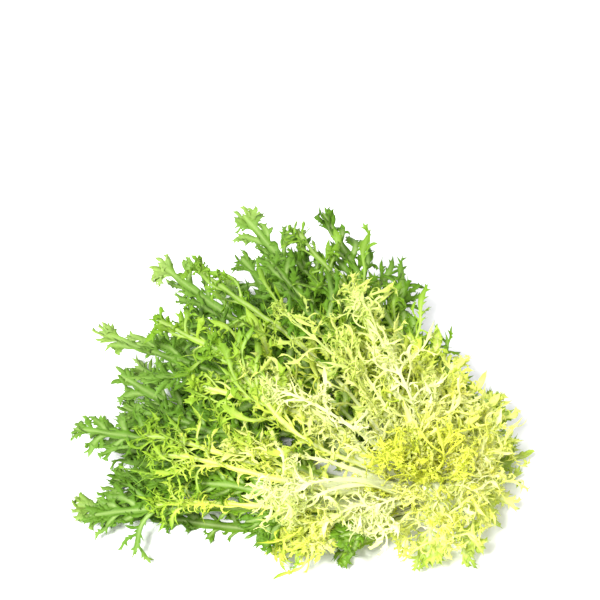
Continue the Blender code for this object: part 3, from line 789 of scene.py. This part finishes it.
def make_sprigs(name, strap):
    """The sprigs that the tree picks from, in a collection outside the scene."""
    sprigs = bpy.data.collections.new(name)
    for number in range(SPRIG_COUNT):
        rng = random.Random(f"{name} {number}")
        sheet = Sheet()
        up, direction = Vector((0, 0, 1)), Vector((0, 1, 0))
        corners = [Vector((side * strap.half, SPRIG_FOOT, 0)) for side in (-1, 1)]
        root = [sheet.point(corner, up, 0, 0, 0, up) for corner in corners]
        drawn = strap._replace(sweep=rng.uniform(-60, 60), curl=strap.curl * rng.uniform(-0.5, 1))
        steps = walk(Vector(), direction, up, drawn, 0, rng.uniform(0, 6))
        grow_strap(sheet, root, steps, drawn, SPRIG_SHAPE, 0, rng)
        sheet.points = [point._replace(half=SPRIG_HALF) for point in sheet.points]
        points, faces, _ = sheet.solid(False)
        mesh = make_mesh(f"{name}_{number}", [(points, faces, {})])
        sprigs.objects.link(bpy.data.objects.new(mesh.name, mesh))
    return sprigs


def fill(node, **values):
    """Give a node its settings, whose names are in small letters, and its inputs. A node given as
    an input stands for its first output."""
    for name, value in values.items():
        if name.islower():
            setattr(node, name, value)
            continue
        shown = [socket for socket in node.inputs if socket.enabled]
        socket = next(s for s in shown if name in (s.identifier, s.name.replace(" ", "_")))
        if isinstance(value, bpy.types.Node):
            value = value.outputs[0]
        if isinstance(value, bpy.types.NodeSocket):
            node.id_data.links.new(value, socket)
        else:
            socket.default_value = value
    return node


def add_node(tree, kind, **values):
    return fill(tree.nodes.new(kind), **values)


def make_sprig_tree():
    """A geometry tree that grows a sprig out of every point that bears one."""
    tree = bpy.data.node_groups.new("grow_sprigs", "GeometryNodeTree")
    add_socket = tree.interface.new_socket
    for name, kind in (("Geometry", "Geometry"), ("Sprigs", "Collection"), ("Seed", "Int")):
        add_socket(name, in_out="INPUT", socket_type="NodeSocket" + kind)
    add_socket("Geometry", in_out="OUTPUT", socket_type="NodeSocketGeometry")
    given = tree.nodes.new("NodeGroupInput").outputs
    length, way = (
        add_node(tree, "GeometryNodeInputNamedAttribute", data_type=kind, Name=name)
        for name, kind in (("sprig", "FLOAT"), ("sprig_way", "FLOAT_VECTOR"))
    )
    bears = add_node(
        tree, "FunctionNodeCompare", data_type="FLOAT", operation="GREATER_THAN", A=length, B=0.0,
    )
    facing = add_node(
        tree, "FunctionNodeAxesToRotation", primary_axis="Y", secondary_axis="Z",
        Primary_Axis=way, Secondary_Axis=(0.0, 0.0, 1.0),
    )
    spin = add_node(
        tree, "FunctionNodeRandomValue", data_type="FLOAT", Max_001=2 * pi, Seed=given["Seed"],
    )
    axis_spin = add_node(tree, "ShaderNodeCombineXYZ", Y=spin.outputs[1])
    spun = add_node(tree, "FunctionNodeEulerToRotation", Euler=axis_spin)
    rotation = add_node(
        tree, "FunctionNodeRotateRotation", rotation_space="LOCAL", Rotation=facing, Rotate_By=spun,
    )
    choice = add_node(
        tree, "FunctionNodeRandomValue", data_type="INT", Min_002=0, Max_002=SPRIG_COUNT - 1,
        Seed=given["Seed"],
    )
    kinds = add_node(
        tree, "GeometryNodeCollectionInfo", Collection=given["Sprigs"], Separate_Children=True,
    )
    grown = add_node(
        tree, "GeometryNodeInstanceOnPoints", Points=given["Geometry"], Selection=bears,
        Instance=kinds, Pick_Instance=True, Instance_Index=choice.outputs[2], Rotation=rotation,
        Scale=length,
    )
    real = add_node(tree, "GeometryNodeRealizeInstances", Geometry=grown)
    whole = add_node(tree, "GeometryNodeJoinGeometry", Geometry=given["Geometry"])
    fill(whole, Geometry=real)
    add_node(tree, "NodeGroupOutput", Geometry=whole)
    return tree


SPRIG_TREE = make_sprig_tree()


def with_sprigs(mesh, sprigs, seed):
    """The mesh that the tree makes of a leaf."""
    bare_leaf = add_object("bare_leaf", mesh)
    modifier = bare_leaf.modifiers.new("sprigs", "NODES")
    modifier.node_group = SPRIG_TREE
    for name, value in (("Sprigs", sprigs), ("Seed", seed)):
        modifier[SPRIG_TREE.interface.items_tree[name].identifier] = value
    evaluated = bare_leaf.evaluated_get(bpy.context.evaluated_depsgraph_get())
    whole = bpy.data.meshes.new_from_object(evaluated)
    bpy.data.objects.remove(bare_leaf)
    for mark in ("sprig", "sprig_way"):
        whole.attributes.remove(whole.attributes[mark])
    return whole


def make_piece(name, parts, material, node, sprigs=None, seed=0):
    """A finished piece, with its sprigs, in the place of a CAD node where it has one."""
    mesh = make_mesh(name, parts)
    if sprigs:
        mesh = with_sprigs(mesh, sprigs, seed)
    mesh.materials.clear()
    mesh.materials.append(material)
    piece = add_object(name + "_fine", mesh)
    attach(piece, "root")
    if node:
        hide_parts(node)


def core_part(profile, foot, count):
    """A closed barrel round the stem's axis, its grain by the distance from it and the way round."""
    points = np.array(barrel_points(profile, foot, count))
    rows = len(profile)
    faces = []
    for first in range(0, (rows - 1) * count, count):
        for i in range(count):
            j = (i + 1) % count
            faces.append((first + i, first + j, first + count + j, first + count + i))
    faces.append(tuple(reversed(range(count))))
    faces.append(tuple(range(count * (rows - 1), count * rows)))
    grain = [
        (radius, 0.01 * sin(2 * pi * i / count), 0.01 * cos(2 * pi * i / count))
        for _, radius in profile for i in range(count)
    ]
    cut = np.repeat([float(level < MM) for level, _ in profile], count)
    zero = np.zeros(len(points))
    return points, faces, {
        "at": zero, "vein": cut, "grain": np.array(grain), "sprig_way": points, "sprig": zero,
    }


def grow_heart():
    """The curly middle: straps out of a core's sides, as the source draws them, and curls on top."""
    rng = random.Random(SEED)
    fine = random.Random("heart")
    sheet = Sheet()
    for row, i in itertools.product(range(len(HEART_PITCHES)), range(HEART_SIDES)):
        if row and (row + i) % 2:
            continue
        out = round_stem(2 * pi * (i + 0.5) / HEART_SIDES + rng.uniform(-0.15, 0.15))
        pitch = HEART_PITCHES[row] + rng.uniform(-8, 8)
        length = HEART_REACH * rng.uniform(0.8, 1.15) * mix(1, NEAR_STRAPS, max(0, -out.y))
        curl, twist = rng.uniform(40, 90), rng.uniform(-60, 60)
        level = mix(HEART_PROFILE[row][0], HEART_PROFILE[row + 1][0], 0.5)
        grow_curl(sheet, out, pitch, level, 0.8, length, curl, twist, fine)
    for number in range(HEART_CURLS):
        out, pitch = round_stem(2.4 * number), fine.uniform(40, 88)
        level = HEART_PROFILE[-1][0] * fine.uniform(0.7, 0.95)
        share = fine.uniform(0.1, 0.85)
        length = HEART_CURL * fine.uniform(0.6, 1.2) * mix(1, NEAR_CURLS, max(0, -out.y))
        curl, twist = fine.uniform(60, 150), fine.uniform(-90, 90)
        grow_curl(sheet, out, pitch, level, share, length, curl, twist, fine)
    return [core_part(HEART_PROFILE, HEART_FOOT, 24), sheet.solid()]


def grow_curl(sheet, out, pitch, level, share, length, curl, twist, rng):
    """One strap of the heart, out of its core at a level and a share of the core's radius."""
    p = radians(pitch)
    direction = out * cos(p) + STEM_AXIS * sin(p)
    up = STEM_AXIS * cos(p) - out * sin(p)
    start = HEART_FOOT + STEM_AXIS * level + out * (share * along(HEART_PROFILE, level))
    sweep = rng.uniform(-50, 50)
    strap = HEART_STRAP._replace(length=length, curl=curl, twist=twist, sweep=sweep)
    left = up.cross(direction).normalized()
    root = [
        sheet.point(start + left * (MM * spot), up, BLADE_HALF, 0, 0.5, Vector()) for spot in (1, 0, -1)
    ]
    steps = NEIGHBOURS.clear_walk("heart", start, direction, up, strap, rng.uniform(0, 6))
    grow_strap(sheet, root, steps, strap, HEART_SHAPE, rng.uniform(0, 1), rng)


def plan_leaves():
    leaves = []
    for w, whorl in enumerate(WHORLS):
        for i, azimuth in enumerate(whorl.azimuths):
            rng = random.Random(SEED * 1000 + w * 100 + i)
            level = whorl.level + SHINGLE * (i % 2)
            leaves.append(Leaf(f"{whorl.name}_{i + 1}", whorl, azimuth, level, rng))
    return leaves


def plan_lesser_leaves():
    """The leaves that fill the fan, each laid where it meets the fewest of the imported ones."""
    leaves = []
    whorls = {whorl.name: whorl for whorl in WHORLS}
    for whorl_name, azimuths, shares, turn, lift, twist, broad in LESSER_LEAVES:
        whorl = whorls[whorl_name]
        for azimuth in azimuths:
            name = f"lesser_{whorl.name}_{len(leaves) + 1}"
            rng = random.Random(name)
            leaf = Leaf(name, whorl, azimuth, whorl.level + 1.5 * SHINGLE, rng)
            leaf.share *= rng.uniform(*shares)
            leaf.broad *= broad
            # Painted shade: the lesser leaves sit in the fan's gaps and are painted greener and darker
            # for it.
            leaf.tint_and_shade += LESSER_PAINTED_SHADE
            leaf.sway = turn * rng.uniform(-1, 1)
            leaf.roll = twist * rng.uniform(-1, 1)
            leaf.settle(lift)
            leaves.append(leaf)
    return leaves


def attribute(tree, name, output="Fac"):
    return add_node(tree, "ShaderNodeAttribute", attribute_name=name).outputs[output]


def noise(tree, vector, stretch, detail):
    """Noise on a vector, stretch cells to the metre along each axis."""
    placed = add_node(tree, "ShaderNodeMapping", Vector=vector, Scale=stretch)
    return add_node(
        tree, "ShaderNodeTexNoise", Vector=placed, Scale=1.0, Detail=detail,
    ).outputs["Fac"]


def ramp(tree, value, stops):
    """A colour for each value, in runs between the stops."""
    node = add_node(tree, "ShaderNodeValToRGB", Fac=value)
    elements = node.color_ramp.elements
    while len(elements) < len(stops):
        elements.new(0.5)
    for element, (place, *colour) in zip(elements, stops):
        element.position = place
        element.color = (*colour, 1)
    return node.outputs["Color"]


def blended(tree, share, a, b, kind="MIX"):
    return add_node(
        tree, "ShaderNodeMix", data_type="RGBA", blend_type=kind,
        Factor_Float=share, A_Color=a, B_Color=b,
    ).outputs["Result"]


def bumped(tree, height, strength, depth, **normal):
    return add_node(
        tree, "ShaderNodeBump", Height=height, Strength=strength, Distance=depth, **normal,
    ).outputs["Normal"]


def start_material(name):
    """A new material with its tree and shader."""
    material = bpy.data.materials.new(name)
    material.use_nodes = True
    return material, material.node_tree, material.node_tree.nodes["Principled BSDF"]


def make_leaf_material(name, blade_stops, rib_stops, glow, rough_from, gloss):
    """A leaf's finish: its blade, mottled and puckered, its pale lined rib, and light through it."""
    material, tree, shader = start_material(name)
    place = tree.nodes.new("ShaderNodeTexCoord").outputs["Object"]
    far, vein = attribute(tree, "at"), attribute(tree, "vein")
    mottle = noise(tree, place, (70, 70, 70), 4)
    lines = noise(tree, attribute(tree, "grain", "Vector"), (1500, 40, 1), 2)
    puckers = noise(tree, place, (320, 320, 320), 3)
    mottled = ramp(tree, mottle, ((0.3, 0.78, 0.85, 0.46), (0.65, 1.0, 1.0, 1.0)))
    lined = ramp(tree, lines, ((0.35, 0.88, 0.93, 0.68), (0.6, 1.0, 1.0, 1.0)))
    blade = blended(tree, 1.0, ramp(tree, far, blade_stops), mottled, "MULTIPLY")
    rib = blended(tree, 1.0, ramp(tree, far, rib_stops), lined, "MULTIPLY")
    colour = blended(tree, vein, blade, rib)
    rough = ramp(tree, mottle, ((0.3, *[rough_from + 0.15] * 3), (0.7, *[rough_from] * 3)))
    relief = bumped(tree, puckers, 0.6, 0.7 * MM)
    relief = bumped(tree, lines, 0.25, 0.3 * MM, Normal=relief)
    fill(shader, Base_Color=colour, Roughness=rough, Normal=relief, Specular_IOR_Level=gloss)
    through = add_node(
        tree, "ShaderNodeBsdfTranslucent", Normal=relief,
        Color=blended(tree, 1.0, colour, (1.0, 1.0, 0.62, 1), "MULTIPLY"),
    )
    both = add_node(tree, "ShaderNodeMixShader", Fac=glow, Shader=shader, Shader_001=through)
    fill(tree.nodes["Material Output"], Surface=both)
    return material


def make_stem_material():
    """The stem's finish: a browned cut with faint rings, and fibres up the sides."""
    material, tree, shader = start_material("stem_finish")
    grain = attribute(tree, "grain", "Vector")
    rings = noise(tree, grain, (900, 60, 60), 3)
    fibres = noise(tree, grain, (30, 420, 420), 3)
    cut = ramp(tree, rings, ((0.35, 0.62, 0.48, 0.24), (0.6, 0.86, 0.84, 0.62)))
    side = ramp(tree, fibres, ((0.3, 0.72, 0.78, 0.46), (0.65, 0.92, 0.93, 0.78)))
    colour = blended(tree, attribute(tree, "vein"), side, cut)
    rough = ramp(tree, fibres, ((0.3, 0.62, 0.62, 0.62), (0.7, 0.4, 0.4, 0.4)))
    relief = bumped(tree, fibres, 0.5, 0.4 * MM)
    fill(shader, Base_Color=colour, Roughness=rough, Normal=relief)
    return material


def make_camera():
    """The photograph's view: a long lens from the near side and above."""
    pixel = PHOTO_WIDTH / PHOTO_SIDE
    pitch = radians(CAMERA_PITCH)
    up = Vector((0, sin(pitch), cos(pitch)))
    look = Vector((0, cos(pitch), -sin(pitch)))
    heart = Vector((STEM_FOOT.x, STEM_FOOT.y, HEART_LEVEL))
    right_of_middle = (HEART_PIXEL[0] - PHOTO_SIDE / 2) * pixel
    above_middle = (PHOTO_SIDE / 2 - HEART_PIXEL[1]) * pixel
    target = heart - Vector((right_of_middle, 0, 0)) - up * above_middle
    data = bpy.data.cameras.new("camera")
    data.lens = LENS
    data.sensor_width = SENSOR
    camera = add_object("camera", data)
    camera.location = target - look * (PHOTO_WIDTH * LENS / SENSOR)
    camera.rotation_euler = (radians(90 - CAMERA_PITCH), 0, 0)
    bpy.context.scene.camera = camera


def make_studio():
    """A white floor, an even pale sky and one soft lamp."""
    mesh = bpy.data.meshes.new("floor")
    corners = [(x * FLOOR_SIDE, y * FLOOR_SIDE, 0) for x, y in ((-1, -1), (1, -1), (1, 1), (-1, 1))]
    mesh.from_pydata(corners, [], [(0, 1, 2, 3)])
    white, _, shader = start_material("studio_white")
    fill(shader, Base_Color=(0.95, 0.95, 0.95, 1), Roughness=0.9)
    mesh.materials.append(white)
    floor = add_object("floor", mesh)
    world = bpy.data.worlds.new("studio")
    world.use_nodes = True
    fill(world.node_tree.nodes["Background"], Color=(0.98, 0.98, 1.0, 1), Strength=WORLD_LIGHT)
    bpy.context.scene.world = world
    lamp = bpy.data.lights.new("key", "AREA")
    lamp.size = KEY_SIZE
    lamp.energy = KEY_POWER
    key = add_object("key", lamp)
    key.location = KEY_PLACE
    key.rotation_euler = (-Vector(KEY_PLACE)).to_track_quat("-Z", "Y").to_euler()
    bpy.context.scene.view_settings.view_transform = "Standard"


# A leaf's colours from its base to full green, for the blade and the rib, how much light it lets
# through, how rough it is and how much it shines.
GREEN_RIB = ((0, 0.96, 0.97, 0.82), (0.35, 0.76, 0.85, 0.46), (0.8, 0.46, 0.62, 0.22))
PALE_RIB = ((0, 0.98, 0.98, 0.9), (0.4, 0.95, 0.96, 0.7), (0.75, 0.7, 0.82, 0.34))
PALE_FINISH = (PALE_RIB, 0.55, 0.4, 0.35)
LEAF_COLOURS = {
    "green": (
        (
            # Painted light and shade in the green blade: from 0.4 to 0.85 it is darker, partly its own
            # deep green and partly shade in the overlaps and gaps, and its tip is lighter, as light on
            # the outlying tips.
            (0, 0.9, 0.92, 0.36), (0.15, 0.62, 0.74, 0.14), (0.4, 0.21, 0.39, 0.022),
            (0.7, 0.13, 0.28, 0.022), (0.85, 0.19, 0.36, 0.05), (1, 0.4, 0.56, 0.16),
        ),
        GREEN_RIB, 0.38, 0.48, 0.22,
    ),
    "lime": (
        (
            (0, 0.95, 0.95, 0.42), (0.25, 0.91, 0.93, 0.28), (0.47, 0.82, 0.875, 0.17),
            (0.6, 0.52, 0.7, 0.08), (0.75, 0.26, 0.47, 0.03), (1, 0.33, 0.53, 0.08),
        ),
        PALE_RIB, 0.5, 0.42, 0.3,
    ),
    "yellow": (
        (
            (0, 0.97, 0.97, 0.68), (0.22, 0.97, 0.97, 0.56), (0.45, 0.94, 0.955, 0.44),
            (0.62, 0.84, 0.9, 0.32), (0.8, 0.6, 0.75, 0.15),
        ),
        *PALE_FINISH,
    ),
    "pale": (
        (
            (0, 0.95, 0.94, 0.16), (0.08, 0.97, 0.96, 0.38), (0.17, 0.98, 0.98, 0.78),
            (0.35, 0.98, 0.975, 0.72), (0.6, 0.84, 0.9, 0.38),
        ),
        *PALE_FINISH,
    ),
    "heart": (
        ((0, 0.9, 0.92, 0.11), (0.5, 0.95, 0.95, 0.24), (1, 0.975, 0.97, 0.46)), *PALE_FINISH,
    ),
}
MATERIALS = {
    name: make_leaf_material("leaf_" + name, *colours) for name, colours in LEAF_COLOURS.items()
}

make_camera()
make_studio()
combs, frizz = make_sprigs("comb", COMB), make_sprigs("frizz", FRIZZ)
leaves = plan_leaves()
for leaf in leaves:
    leaf.stand_as_packed(np.array([vertex.co for vertex in frame["nodes"][leaf.name].data.vertices]))
for number, leaf in enumerate(leaves + plan_lesser_leaves()):
    pale = leaf.whorl.name in PALE_WHORLS
    material = MATERIALS["pale" if pale else leaf.whorl.cut]
    make_piece(
        leaf.name, [grow_leaf(leaf).solid()], material,
        leaf.name if number < len(leaves) else None, frizz if pale else combs, number,
    )
make_piece("heart", grow_heart(), MATERIALS["heart"], "heart", frizz, SEED)
stem_part = core_part(STEM_CUT_RINGS + STEM_PROFILE, STEM_FOOT, 48)
make_piece("stem", [stem_part], make_stem_material(), "stem")
